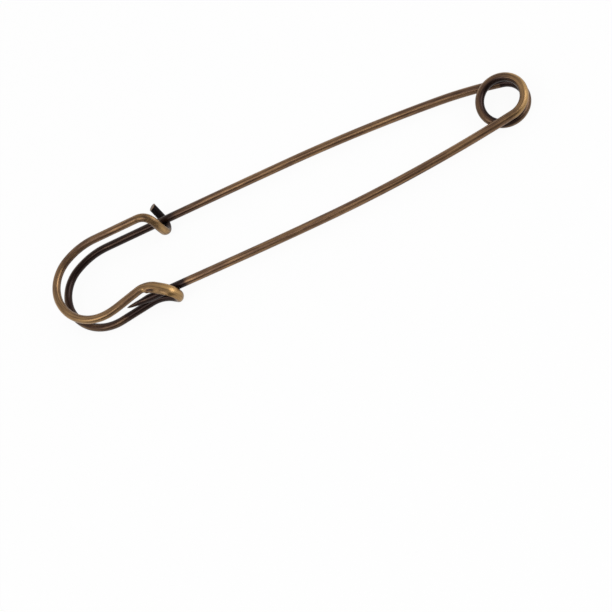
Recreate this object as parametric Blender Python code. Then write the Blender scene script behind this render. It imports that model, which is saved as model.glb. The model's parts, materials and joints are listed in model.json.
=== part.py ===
"""Kilt pin: a large safety pin bent from one length of bronze wire, closed and lying on its back.

The wire is followed from its point to its cut end. It runs up the needle, winds round the spring
coil, goes back along the fixed arm, then makes the guard: a lower strand round the head, a fold
that catches the needle, and an upper strand back round the head. Its end turns once round the
fixed arm and is cut off short.

The pin is drawn in its own plane: the coil's axis is +Z, the head lies towards -X, the fixed arm
is on the +Y side and the needle on the -Y side. Level zero is the centre line of the fixed arm.
The finished wire is then laid on the ground on the three places where it touches a table.
Lengths are in metres and angles in degrees.
"""

from math import acos, ceil, cos, degrees, pi, radians, sin

import bmesh
import bpy
from mathutils import Matrix, Vector

# Wire
WIRE = 0.00165
SIDES = 12

# Spring coil
COIL_RADIUS = 0.0042
COIL_GAP = 0.00051
COIL_RISE = WIRE + COIL_GAP
COIL_NEEDLE_ANGLE = -80.5
COIL_ARM_ANGLE = 76.2
POINTS_PER_TURN = 24

# Levels of the needle and of the upper strand above the fixed arm
NEEDLE_CLEAR_BELOW = 0.000465
NEEDLE_CLEAR_ABOVE = 0.001035
NEEDLE_LEVEL = WIRE + NEEDLE_CLEAR_BELOW
GUARD_LEVEL = NEEDLE_LEVEL + WIRE + NEEDLE_CLEAR_ABOVE

# Fixed arm: three stretches, each with the angle it turns through
ARM_BOW = 0.0125
ARM_BOW_TURN = 8.06
ARM_MIDDLE = 0.032
ARM_MIDDLE_TURN = 5.5
ARM_END = 0.0416
ARM_END_TURN = 0.7

# Head: three bends of each strand, from the fixed arm round to the catch side
UPPER_BEND_RADII = (0.01376, 0.00734, 0.00932)
UPPER_BEND_TURNS = (30.9, 73.8, 82.9)
LOWER_BEND_RADII = (0.0147, 0.00729, 0.0098)
LOWER_BEND_TURNS = (30.9, 82.3, 75.3)

# Catch: how each strand reaches the fold
CATCH_HEADING = 360.0 - 31.9
LOWER_STRAIGHT = 0.00715
LOWER_TURN_RADIUS = 0.00707
UPPER_SWELL_RADIUS = 0.0185
UPPER_SWELL_TURN = 7.6
UPPER_TURN_RADIUS = 0.0049
FOLD_LEAN = 6.0
FOLD_RADIUS = GUARD_LEVEL / 2.0 / cos(radians(FOLD_LEAN))

# The wire is pressed a little wide from the head's foot to the fold, and where it goes down
# beside the fixed arm
CATCH_PRESSED_SHARE = 1.16
CATCH_PRESSED_RUN = 0.018
CATCH_PRESSED_FADE = 0.006
WRAP_PRESSED_SHARE = 1.18

# Needle
NEEDLE_BOW = 0.0396
NEEDLE_MIDDLE = 0.020
NEEDLE_MIDDLE_TURN_SHARE = 0.2
TIP_PAST_FOLD = 0.0095
TIP_IN_FROM_FOLD = 0.00075
POINT_LENGTH = 0.0070
POINT_END_SHARE = 0.07
POINT_ONE_SIDED_SHARE = 0.75
POINT_TAPER_POWER = 0.8

# Wrap round the fixed arm, and the cut tail
WRAP_GAP = 0.00033
WRAP_RADIUS = WIRE + WRAP_GAP
WRAP_BACK = 0.01324
WRAP_APPROACH = 0.0034
WRAP_LEVEL = 0.00065
WRAP_REACH_ALONG = 0.0031
WRAP_REACH_UP = 0.00295
WRAP_ADVANCE = 0.00011
WRAP_LEAVE_ANGLE = 296.0
TAIL_LENGTH = 0.00405
TAIL_DRIFT_SHARE = 0.34
CUT_CHAMFER = 0.00012

# Rest: shallow flats where the wire touches a table
FLAT_DEPTH = WIRE / 10.0
SETTLE_ROUNDS = 8

# Fineness of the drawn wire
BEND_STEP = 7.5
STRAIGHT_STEP = 0.004
FINE_STEP = 0.0008
STEP_SLACK = 0.01
CURVE_STEPS = 12
SHARP_ANGLE = 40.0
THIRDS = (1.0 / 3.0, 2.0 / 3.0, 1.0)

# Points of the wire closer together than this along it are not compared for gaps
NEIGHBOUR_RUN = WIRE * 3.0
TO_MM = 1000.0

UP = Vector((0.0, 0.0, 1.0))


def clear_scene():
    """Start from an empty scene."""
    for item in list(bpy.data.objects):
        bpy.data.objects.remove(item, do_unlink=True)


def bronze(name, colour, roughness):
    """A bronze finish with its own shade."""
    material = bpy.data.materials.new(name)
    material.use_nodes = True
    shader = material.node_tree.nodes["Principled BSDF"]
    shader.inputs["Base Color"].default_value = (*colour, 1.0)
    shader.inputs["Metallic"].default_value = 1.0
    shader.inputs["Roughness"].default_value = roughness
    return material


def bend(radius, turn):
    """A round bend as a length of wire and the angle it turns through."""
    return (radius * radians(abs(turn)), turn)


def walk(start, heading, moves, step=STRAIGHT_STEP):
    """Follow (length, turn) moves in the pin's plane.

    Returns the points after the start, as (x, y), and the last heading.
    """
    x, y = start
    angle = radians(heading)
    points = []
    for length, turn in moves:
        pieces = ceil(max(length / step, abs(turn) / BEND_STEP) - STEP_SLACK)
        pieces = max(1, pieces)
        half = radians(turn) / pieces / 2.0
        chord = length / pieces * (sin(half) / half if half else 1.0)
        for _ in range(pieces):
            x += chord * cos(angle + half)
            y += chord * sin(angle + half)
            angle += 2.0 * half
            points.append((x, y))
    return points, degrees(angle)


def smooth(share):
    """Ease from zero to one."""
    share = min(max(share, 0.0), 1.0)
    return share * share * (3.0 - 2.0 * share)


def at_level(points, level):
    """Plan points at one level."""
    return [Vector((x, y, level)) for x, y in points]


def run_lengths(points):
    """Distance of each point from the first, along the points."""
    lengths = [0.0]
    for before, after in zip(points, points[1:]):
        lengths.append(lengths[-1] + (after - before).length)
    return lengths


def coil_points():
    """The spring coil, from the needle down to the fixed arm.

    The turns climb at one steady rate. The coil leans a little, so that it meets
    the needle and the fixed arm at their own levels.
    """
    turns = 1.0 + (COIL_ARM_ANGLE - COIL_NEEDLE_ANGLE) / 360.0
    first = sin(radians(COIL_NEEDLE_ANGLE))
    last = sin(radians(COIL_ARM_ANGLE))
    lean = (NEEDLE_LEVEL - COIL_RISE * turns) / (first - last)
    middle = NEEDLE_LEVEL / 2.0
    count = ceil(turns * POINTS_PER_TURN)
    points = []
    for index in range(count + 1):
        turned = turns * index / count
        angle = radians(COIL_NEEDLE_ANGLE) + 2.0 * pi * turned
        rise = COIL_RISE * (turns / 2.0 - turned)
        tilt = lean * (sin(angle) - (first + last) / 2.0)
        place = (COIL_RADIUS * cos(angle), COIL_RADIUS * sin(angle), middle + rise + tilt)
        points.append(Vector(place))
    return points


def least_gap(points, diameter, apart):
    """Least gap of a tube to itself, between points further apart than a given run."""
    lengths = run_lengths(points)
    gaps = []
    for index, point in enumerate(points):
        for other in range(index + 1, len(points)):
            if lengths[other] - lengths[index] > apart:
                gaps.append((points[other] - point).length - diameter)
    return min(gaps)


def coil_end(angle):
    """Where the coil stops at an angle, in plan."""
    return (COIL_RADIUS * cos(radians(angle)), COIL_RADIUS * sin(radians(angle)))


def arm_plan():
    """Plan of the fixed arm from the coil, and its heading at the head."""
    moves = [(WIRE, 0.0), (ARM_BOW - WIRE, ARM_BOW_TURN), (ARM_MIDDLE, ARM_MIDDLE_TURN)]
    moves.append((ARM_END, ARM_END_TURN))
    return walk(coil_end(COIL_ARM_ANGLE), COIL_ARM_ANGLE + 90.0, moves)


def head_plan(start, heading, radii, turns):
    """Plan of one strand round the head."""
    return walk(start, heading, [bend(radius, turn) for radius, turn in zip(radii, turns)])


def catch_frame():
    """Directions along the fold's heading and across it, towards the fixed arm."""
    along = Vector((cos(radians(CATCH_HEADING)), sin(radians(CATCH_HEADING)), 0.0))
    return along, UP.cross(along)


def lower_catch_plan(start, heading):
    """Plan of the lower strand from the head to the fold."""
    turn = CATCH_HEADING - heading
    moves = [(LOWER_STRAIGHT, 0.0), bend(LOWER_TURN_RADIUS, turn)]
    return walk(start, heading, moves, FINE_STEP)[0]


def upper_catch_plan(start, heading, finish):
    """Plan of the upper strand from the head to the fold.

    It swells inwards over the needle. The two straight runs beside its second bend
    are the lengths that bring it to the fold.
    """
    swell = bend(UPPER_SWELL_RADIUS, UPPER_SWELL_TURN)
    after_swell, middle_heading = walk(start, heading, [swell], FINE_STEP)
    turn = bend(UPPER_TURN_RADIUS, CATCH_HEADING - middle_heading)
    origin = (0.0, 0.0)
    turned = walk(origin, middle_heading, [turn])[0][-1]
    gap_x = finish[0] - after_swell[-1][0] - turned[0]
    gap_y = finish[1] - after_swell[-1][1] - turned[1]
    a = radians(middle_heading)
    b = radians(CATCH_HEADING)
    spread = sin(b - a)
    before = (gap_x * sin(b) - gap_y * cos(b)) / spread
    after = (gap_y * cos(a) - gap_x * sin(a)) / spread
    return walk(start, heading, [swell, (before, 0.0), turn, (after, 0.0)], FINE_STEP)[0]


def half_turn(middle, along, upright):
    """The fold at the catch: half a turn from the lower strand up to the upper strand."""
    points = []
    for index in range(CURVE_STEPS + 1):
        angle = pi * (index / CURVE_STEPS - 0.5)
        points.append(middle + (along * cos(angle) + upright * sin(angle)) * FOLD_RADIUS)
    return points


def needle_plan(bow_turn, last_run):
    """Plan of the needle from the coil to its tip."""
    middle_turn = bow_turn * NEEDLE_MIDDLE_TURN_SHARE
    moves = [(WIRE, 0.0), (NEEDLE_BOW - WIRE, bow_turn), (NEEDLE_MIDDLE, middle_turn)]
    moves.append((last_run - POINT_LENGTH, 0.0))
    body, heading = walk(coil_end(COIL_NEEDLE_ANGLE), COIL_NEEDLE_ANGLE - 90.0, moves)
    point = walk(body[-1], heading, [(POINT_LENGTH, 0.0)], FINE_STEP)[0]
    return body, point


def aimed_needle(tip):
    """Needle whose bow and length bring its tip to a place in the head."""
    nudge_turn = 0.01
    nudge_run = WIRE / 100.0
    bow_turn = 0.0
    last_run = NEEDLE_MIDDLE
    for _ in range(SETTLE_ROUNDS):
        here = needle_plan(bow_turn, last_run)[1][-1]
        turned = needle_plan(bow_turn + nudge_turn, last_run)[1][-1]
        longer = needle_plan(bow_turn, last_run + nudge_run)[1][-1]
        by_turn = [(after - before) / nudge_turn for after, before in zip(turned, here)]
        by_run = [(after - before) / nudge_run for after, before in zip(longer, here)]
        miss = [want - have for want, have in zip(tip, here)]
        spread = by_turn[0] * by_run[1] - by_turn[1] * by_run[0]
        bow_turn += (miss[0] * by_run[1] - miss[1] * by_run[0]) / spread
        last_run += (by_turn[0] * miss[1] - by_turn[1] * miss[0]) / spread
    return needle_plan(bow_turn, last_run)


def place_back(points, distance):
    """Place and direction on a path, a distance back from its end."""
    lengths = run_lengths(points)
    wanted = lengths[-1] - distance
    index = max(i for i, length in enumerate(lengths[:-1]) if length <= wanted)
    step = points[index + 1] - points[index]
    return points[index] + step.normalized() * (wanted - lengths[index]), -step.normalized()


def bezier(p0, p1, p2, p3):
    """Points along a cubic curve, after its start."""
    points = []
    for index in range(1, CURVE_STEPS + 1):
        t = index / CURVE_STEPS
        s = 1.0 - t
        points.append(p0 * s**3 + p1 * (3.0 * s * s * t) + p2 * (3.0 * s * t * t) + p3 * t**3)
    return points


def wrap_points(arm):
    """Top run, turn round the fixed arm and cut tail of the upper strand's end."""
    begin, along = place_back(arm, WRAP_BACK - WRAP_APPROACH)
    centre, along = place_back(arm, WRAP_BACK)
    inward = along.cross(UP)
    raised = begin + UP * GUARD_LEVEL
    side = centre + inward * WRAP_RADIUS + UP * WRAP_LEVEL
    handle = raised + along * WRAP_REACH_ALONG
    approach = bezier(raised, handle, side + UP * WRAP_REACH_UP, side)
    turn = []
    leave = radians(WRAP_LEAVE_ANGLE)
    for index in range(CURVE_STEPS + 1):
        share = index / CURVE_STEPS
        angle = pi + (leave - pi) * share
        spoke = -inward * cos(angle) + UP * sin(angle)
        turn.append(centre + spoke * WRAP_RADIUS - along * (WRAP_ADVANCE * share))
    outward = inward * sin(leave) + UP * cos(leave) - along * TAIL_DRIFT_SHARE
    outward.normalize()
    tail = [turn[-1] + outward * (TAIL_LENGTH * share) for share in THIRDS[:2]]
    tail.append(turn[-1] + outward * (TAIL_LENGTH - CUT_CHAMFER))
    tail.append(turn[-1] + outward * TAIL_LENGTH)
    return raised, approach + turn, tail


def wire_stretches():
    """The whole wire as named stretches, from the needle's tip to the cut end.

    Each stretch starts on the last point of the one before.
    """
    coil = coil_points()
    arm_flat, arm_heading = arm_plan()
    arm = [coil[-1]] + at_level(arm_flat, 0.0)
    head_start = arm_flat[-1]
    lower_head, lower_heading = head_plan(head_start, arm_heading, LOWER_BEND_RADII, LOWER_BEND_TURNS)
    upper_head, upper_heading = head_plan(head_start, arm_heading, UPPER_BEND_RADII, UPPER_BEND_TURNS)
    lower_catch = lower_catch_plan(lower_head[-1], lower_heading)

    along, across = catch_frame()
    upright = UP * cos(radians(FOLD_LEAN)) + across * sin(radians(FOLD_LEAN))
    fold_middle = Vector((*lower_catch[-1], 0.0)) + upright * FOLD_RADIUS
    fold = half_turn(fold_middle, along, upright)
    upper_catch = upper_catch_plan(upper_head[-1], upper_heading, fold[-1].xy)

    lower = [arm[-1]] + at_level(lower_head + lower_catch, 0.0)
    upper = at_level([head_start] + upper_head + upper_catch, GUARD_LEVEL)
    raised, wrap, tail = wrap_points(arm)
    top_run = [upper[0].lerp(raised, share) for share in THIRDS]

    tip = (fold_middle.x - TIP_PAST_FOLD, fold_middle.y + TIP_IN_FROM_FOLD)
    body, point = aimed_needle(tip)
    needle = at_level(body, NEEDLE_LEVEL)
    needle_tip = at_level(point, NEEDLE_LEVEL)

    return {
        "needle_point": needle_tip[::-1] + [needle[-1]],
        "needle_arm": needle[::-1],
        "spring_coil": [needle[0]] + coil + [arm[1]],
        "fixed_arm": arm[1:],
        "lower_guard": lower,
        "catch_fold": fold,
        "upper_guard": upper[::-1] + top_run,
        "wrap_turn": [raised] + wrap,
        "wrap_tail": [wrap[-1]] + tail,
    }


def joined(stretches):
    """One list of points for the whole wire, and where each stretch starts and ends in it."""
    points = []
    spans = {}
    for name, stretch in stretches.items():
        first = max(len(points) - 1, 0)
        points += stretch if not points else stretch[1:]
        spans[name] = (first, len(points) - 1)
    return points, spans


def tangents(points):
    """Direction of the wire at each point."""
    result = []
    last = len(points) - 1
    for index in range(last + 1):
        before = points[max(index - 1, 0)]
        after = points[min(index + 1, last)]
        here = points[index]
        first = (here - before).normalized() if index else (after - here).normalized()
        second = (after - here).normalized() if index < last else first
        result.append((first + second).normalized())
    return result


def point_taper(share):
    """Radius of the ground point, as a share of the wire's, at a share of its length."""
    return POINT_END_SHARE + (1.0 - POINT_END_SHARE) * share ** POINT_TAPER_POWER


def pressed_places(points, spans):
    """How wide the wire is pressed, and in which direction, by point number."""
    places = {}
    first, last = spans["catch_fold"]
    normal = (points[last] - points[first]).cross(points[(first + last) // 2] - points[first])
    for index in range(first, last + 1):
        share = smooth(2.0 * (index - first) / (last - first))
        places[index] = (1.0 + (CATCH_PRESSED_SHARE - 1.0) * share, normal.normalized())
    first, last = spans["upper_guard"]
    lengths = run_lengths(points[first: last + 1])
    for index, length in enumerate(lengths[1:], first + 1):
        share = smooth((CATCH_PRESSED_RUN - length) / CATCH_PRESSED_FADE)
        step = points[min(index + 1, last)] - points[index - 1]
        places[index] = (1.0 + (CATCH_PRESSED_SHARE - 1.0) * share, UP.cross(step).normalized())
    first, last = spans["wrap_turn"]
    along = (points[spans["fixed_arm"][0]] - points[spans["fixed_arm"][1]]).normalized()
    for index in range(first + 1, last):
        share = sin(pi * (index - first) / (last - first))
        places[index] = (1.0 + (WRAP_PRESSED_SHARE - 1.0) * share, along)
    return places


def ring_corners(middle, side, direction, radius):
    """Corners of one round section."""
    other = direction.cross(side)
    corners = []
    for corner in range(SIDES):
        angle = 2.0 * pi * (corner + 0.5) / SIDES
        corners.append(middle + (side * cos(angle) + other * sin(angle)) * radius)
    return corners


def press(corners, middle, direction, share, wide):
    """Spread a section one way and thin it the other way, with the same area."""
    wide = (wide - direction * wide.dot(direction)).normalized()
    thin = direction.cross(wide)
    result = []
    for corner in corners:
        arm = corner - middle
        result.append(middle + wide * (arm.dot(wide) * share) + thin * (arm.dot(thin) / share))
    return result


def rings(points, spans):
    """Sections along the whole wire, each turned as little as possible from the last."""
    directions = tangents(points)
    places = pressed_places(points, spans)
    tip_first, tip_last = spans["needle_point"]
    side = directions[0].cross(UP).normalized()
    result = []
    for index, point in enumerate(points):
        direction = directions[index]
        if index:
            side = directions[index - 1].rotation_difference(direction) @ side
        side = (side - direction * side.dot(direction)).normalized()
        radius = WIRE / 2.0
        middle = point
        if index < tip_last:
            radius *= point_taper((point - points[tip_first]).length / POINT_LENGTH)
            middle = point + side * ((WIRE / 2.0 - radius) * POINT_ONE_SIDED_SHARE)
        if index == len(points) - 1:
            radius -= CUT_CHAMFER
        corners = ring_corners(middle, side, direction, radius)
        if index in places:
            corners = press(corners, middle, direction, *places[index])
        result.append(corners)
    return result


def resting_pose(points, spans, sections):
    """Turn and shift that lay the pin on the wrap, the coil and the head's lower strand or fold."""
    regions = [points[spans[first][0]: spans[last][1] + 1] for first, last in SUPPORTS]
    turn = Matrix.Identity(3)
    for _ in range(SETTLE_ROUNDS):
        lows = [min(region, key=lambda p: (turn @ p).z) for region in regions]
        normal = (lows[1] - lows[0]).cross(lows[2] - lows[0]).normalized()
        if normal.z < 0.0:
            normal = -normal
        turn = normal.rotation_difference(UP).to_matrix()
    corners = [turn @ corner for ring in sections for corner in ring]
    low_x, high_x = min(c.x for c in corners), max(c.x for c in corners)
    low_y, high_y = min(c.y for c in corners), max(c.y for c in corners)
    lowest = (turn @ lows[0]).z - WIRE / 2.0
    shift = Vector((-(low_x + high_x) / 2.0, -(low_y + high_y) / 2.0, -lowest - FLAT_DEPTH))
    return Matrix.Translation(shift) @ turn.to_4x4()


def wire_mesh(name, sections):
    """Closed solid through a run of sections, with flat ends."""
    shape = bmesh.new()
    loops = [[shape.verts.new(corner) for corner in ring] for ring in sections]
    for before, after in zip(loops, loops[1:]):
        for index in range(SIDES):
            following = (index + 1) % SIDES
            shape.faces.new((before[index], before[following], after[following], after[index]))
    shape.faces.new(loops[0][::-1])
    shape.faces.new(loops[-1])
    bmesh.ops.recalc_face_normals(shape, faces=shape.faces)
    mesh = bpy.data.meshes.new(name)
    shape.to_mesh(mesh)
    shape.free()
    return mesh


def cut_flat(mesh, to_ground):
    """Take off what lies below the ground and close the cut with a flat."""
    shape = bmesh.new()
    shape.from_mesh(mesh)
    to_part = to_ground.inverted()
    ground = to_part.translation
    down = to_part.to_3x3() @ -UP
    whole = shape.verts[:] + shape.edges[:] + shape.faces[:]
    bmesh.ops.bisect_plane(shape, geom=whole, plane_co=ground, plane_no=down, clear_outer=True)
    open_edges = [edge for edge in shape.edges if edge.is_boundary]
    if open_edges:
        bmesh.ops.holes_fill(shape, edges=open_edges, sides=0)
    bmesh.ops.recalc_face_normals(shape, faces=shape.faces)
    shape.to_mesh(mesh)
    shape.free()


def empty(name, parent, location):
    """A marker that carries other objects."""
    marker = bpy.data.objects.new(name, None)
    bpy.context.scene.collection.objects.link(marker)
    marker.parent = parent
    marker.location = location
    return marker


def add_node(name, mesh, parent, material):
    """One named piece of the pin."""
    mesh.shade_smooth()
    mesh.set_sharp_from_angle(angle=radians(SHARP_ANGLE))
    mesh.materials.append(material)
    item = bpy.data.objects.new(name, mesh)
    bpy.context.scene.collection.objects.link(item)
    item.parent = parent
    return item


# Shade and roughness of each stretch of the wire, from worn bright to darkened
FINISHES = {
    "needle_point": ((0.075, 0.055, 0.045), 0.38),
    "needle_arm": ((0.150, 0.095, 0.060), 0.34),
    "spring_coil": ((0.190, 0.120, 0.065), 0.32),
    "fixed_arm": ((0.130, 0.085, 0.062), 0.36),
    "lower_guard": ((0.055, 0.038, 0.036), 0.44),
    "catch_fold": ((0.270, 0.165, 0.070), 0.32),
    "upper_guard": ((0.170, 0.105, 0.060), 0.36),
    "wrap_turn": ((0.260, 0.165, 0.075), 0.34),
    "wrap_tail": ((0.035, 0.028, 0.028), 0.50),
}
MOVING = ("needle_point", "needle_arm")
SUPPORTS = (("wrap_turn", "wrap_turn"), ("spring_coil", "spring_coil"), ("lower_guard", "catch_fold"))
TOUCHING = ("wrap_turn", "spring_coil", "lower_guard", "catch_fold")


def main():
    clear_scene()
    points, spans = joined(wire_stretches())
    sections = rings(points, spans)
    pose = resting_pose(points, spans, sections)

    frame = empty("pin_plane", None, (0.0, 0.0, 0.0))
    frame.matrix_world = pose
    hinge_place = UP * NEEDLE_LEVEL
    hinge = empty("needle_hinge", frame, hinge_place)

    for name, (first, last) in spans.items():
        run = sections[first: last + 1]
        moving = name in MOVING
        if moving:
            run = [[corner - hinge_place for corner in ring] for ring in run]
        mesh = wire_mesh(name, run)
        if name in TOUCHING:
            cut_flat(mesh, pose)
        add_node(name, mesh, hinge if moving else frame, bronze("bronze_" + name, *FINISHES[name]))

    first, last = spans["spring_coil"]
    coil_gap = least_gap(points[first: last + 1], WIRE, NEIGHBOUR_RUN)
    print("least gap of the spring coil to itself, mm:", round(coil_gap * TO_MM, 3))
    wire_gap = least_gap(points, WIRE, NEIGHBOUR_RUN)
    print("least gap of the whole wire to itself, mm:", round(wire_gap * TO_MM, 3))
    axis = pose.to_3x3() @ UP
    print("needle hinge place, m:", [round(v, 6) for v in pose @ hinge_place])
    print("needle hinge axis:", [round(v, 6) for v in axis])
    print("leans from upright, degrees:", round(degrees(acos(axis.z)), 2))


main()
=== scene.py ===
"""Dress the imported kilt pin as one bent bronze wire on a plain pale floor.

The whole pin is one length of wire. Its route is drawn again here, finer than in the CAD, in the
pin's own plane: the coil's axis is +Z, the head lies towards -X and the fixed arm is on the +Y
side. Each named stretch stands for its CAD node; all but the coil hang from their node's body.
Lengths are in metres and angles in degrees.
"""

import json
import logging
from dataclasses import astuple, dataclass, field
from enum import Enum
from math import ceil, cos, degrees, exp, pi, radians, sin

import bmesh
import bpy
import numpy as np
from mathutils import Matrix, Vector, noise


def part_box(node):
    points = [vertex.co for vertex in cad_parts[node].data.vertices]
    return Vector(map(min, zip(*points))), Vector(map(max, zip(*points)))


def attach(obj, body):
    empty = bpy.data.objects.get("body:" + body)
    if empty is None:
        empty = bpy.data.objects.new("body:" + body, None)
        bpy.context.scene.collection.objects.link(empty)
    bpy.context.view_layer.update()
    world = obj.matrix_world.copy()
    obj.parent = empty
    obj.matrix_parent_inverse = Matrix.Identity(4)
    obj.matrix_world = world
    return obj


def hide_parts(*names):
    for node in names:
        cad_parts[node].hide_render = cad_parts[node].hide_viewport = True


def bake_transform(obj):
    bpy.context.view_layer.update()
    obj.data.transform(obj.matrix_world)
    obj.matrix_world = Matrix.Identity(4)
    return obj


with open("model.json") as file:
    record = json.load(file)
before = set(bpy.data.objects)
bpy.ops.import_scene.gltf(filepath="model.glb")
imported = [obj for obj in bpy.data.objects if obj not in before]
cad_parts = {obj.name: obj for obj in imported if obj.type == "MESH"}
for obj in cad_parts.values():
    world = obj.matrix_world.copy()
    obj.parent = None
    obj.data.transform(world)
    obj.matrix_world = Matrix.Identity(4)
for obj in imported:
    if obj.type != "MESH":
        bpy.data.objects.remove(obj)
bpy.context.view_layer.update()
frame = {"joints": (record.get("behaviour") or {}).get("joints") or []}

LOG = logging.getLogger("kilt_pin")
UP = Vector((0.0, 0.0, 1.0))
MM = 0.001


class Body(Enum):
    """The two bodies that the hinge joins."""

    FRAME = "frame"
    NEEDLE = "needle"


def smooth(share: float) -> float:
    """Ease from zero to one."""
    share = min(max(share, 0.0), 1.0)
    return share * share * (3.0 - 2.0 * share)


def pairs_round(loop: list) -> list[tuple]:
    """Each member of a closed loop with the one after it."""
    return list(zip(loop, loop[1:] + loop[:1]))


def band(shape: bmesh.types.BMesh, before: list, after: list) -> None:
    """Join two loops with a band of faces."""
    for (first, second), (fourth, third) in zip(pairs_round(before), pairs_round(after)):
        shape.faces.new((first, second, third, fourth))


def sharpen(shape: bmesh.types.BMesh, loop: list) -> None:
    """Keep the edges round a loop crisp."""
    for pair in pairs_round(loop):
        shape.edges.get(pair).smooth = False


def put(name: str, data: bpy.types.ID) -> bpy.types.Object:
    """Put a new object into the scene.

    Args:
        name: Its name.
        data: Its mesh, lamp or camera.

    Returns:
        The new object.
    """
    item = bpy.data.objects.new(name, data)
    bpy.context.scene.collection.objects.link(item)
    return item


def rest_pose(level: float) -> Matrix:
    """Turn and shift from the pin's own plane to the table.

    Args:
        level: Height of the needle in the pin's plane, which is where the hinge's place lies.

    Returns:
        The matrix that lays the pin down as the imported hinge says.
    """
    hinge = frame["joints"][0]
    turn = UP.rotation_difference(-Vector(hinge["axis"])).to_matrix()
    shift = Vector(hinge["pos_m"]) - turn @ (UP * level)
    return Matrix.Translation(shift) @ turn.to_4x4()


@dataclass(frozen=True)
class Bend:
    """A round bend of the wire."""

    radius: float
    turn: float

    def move(self) -> tuple[float, float]:
        """Length of wire in the bend, and the angle it turns through."""
        return self.radius * radians(abs(self.turn)), self.turn


@dataclass(frozen=True)
class WireSizes:
    """Sizes of the bent wire: the CAD source's, fitted closer to the edges in the photograph."""

    wire: float = 1.65 * MM
    coil_radius: float = 4.2 * MM
    coil_gap: float = 0.51 * MM
    coil_needle_angle: float = -80.77
    coil_arm_angle: float = 76.33
    needle_clear_below: float = 0.465 * MM
    needle_clear_above: float = 1.035 * MM
    arm_runs: tuple[float, ...] = (12.5 * MM, 32.0 * MM, 41.6 * MM)
    arm_turns: tuple[float, ...] = (8.11, 5.35, 0.73)
    upper_head: tuple[Bend, ...] = (
        Bend(13.81 * MM, 31.06), Bend(7.31 * MM, 73.9), Bend(9.23 * MM, 82.95))
    lower_head: tuple[Bend, ...] = (
        Bend(14.63 * MM, 30.93), Bend(7.33 * MM, 82.18), Bend(9.78 * MM, 75.28))
    catch_heading: float = 360.0 - 32.03
    lower_straight: float = 7.17 * MM
    lower_turn_radius: float = 7.21 * MM
    upper_swell: Bend = Bend(18.5 * MM, 7.66)
    upper_turn_radius: float = 4.87 * MM
    fold_lean: float = 5.5
    needle_bow: float = 38.9 * MM
    needle_middle: float = 20.0 * MM
    needle_middle_turn_share: float = 0.16
    tip_past_fold: float = 9.5 * MM
    tip_in_from_fold: float = 0.76 * MM
    point_length: float = 7.0 * MM
    wrap_gap: float = 0.38 * MM
    wrap_bulge: float = 0.24 * MM
    wrap_back: float = 13.34 * MM
    wrap_approach: float = 3.45 * MM
    wrap_level: float = 0.64 * MM
    wrap_reach_along: float = 3.08 * MM
    wrap_reach_up: float = 2.94 * MM
    wrap_advance: float = 0.08 * MM
    wrap_leave_angle: float = 296.0
    tail_length: float = 3.88 * MM
    tail_drift_share: float = 0.38

    @property
    def radius(self) -> float:
        """Radius of the wire."""
        return self.wire / 2.0

    @property
    def needle_level(self) -> float:
        """Height of the needle above the fixed arm."""
        return self.wire + self.needle_clear_below

    @property
    def guard_level(self) -> float:
        """Height of the upper strand above the fixed arm."""
        return self.needle_level + self.wire + self.needle_clear_above

    @property
    def fold_radius(self) -> float:
        """Radius of the half turn at the catch."""
        return self.guard_level / 2.0 / cos(radians(self.fold_lean))


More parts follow.
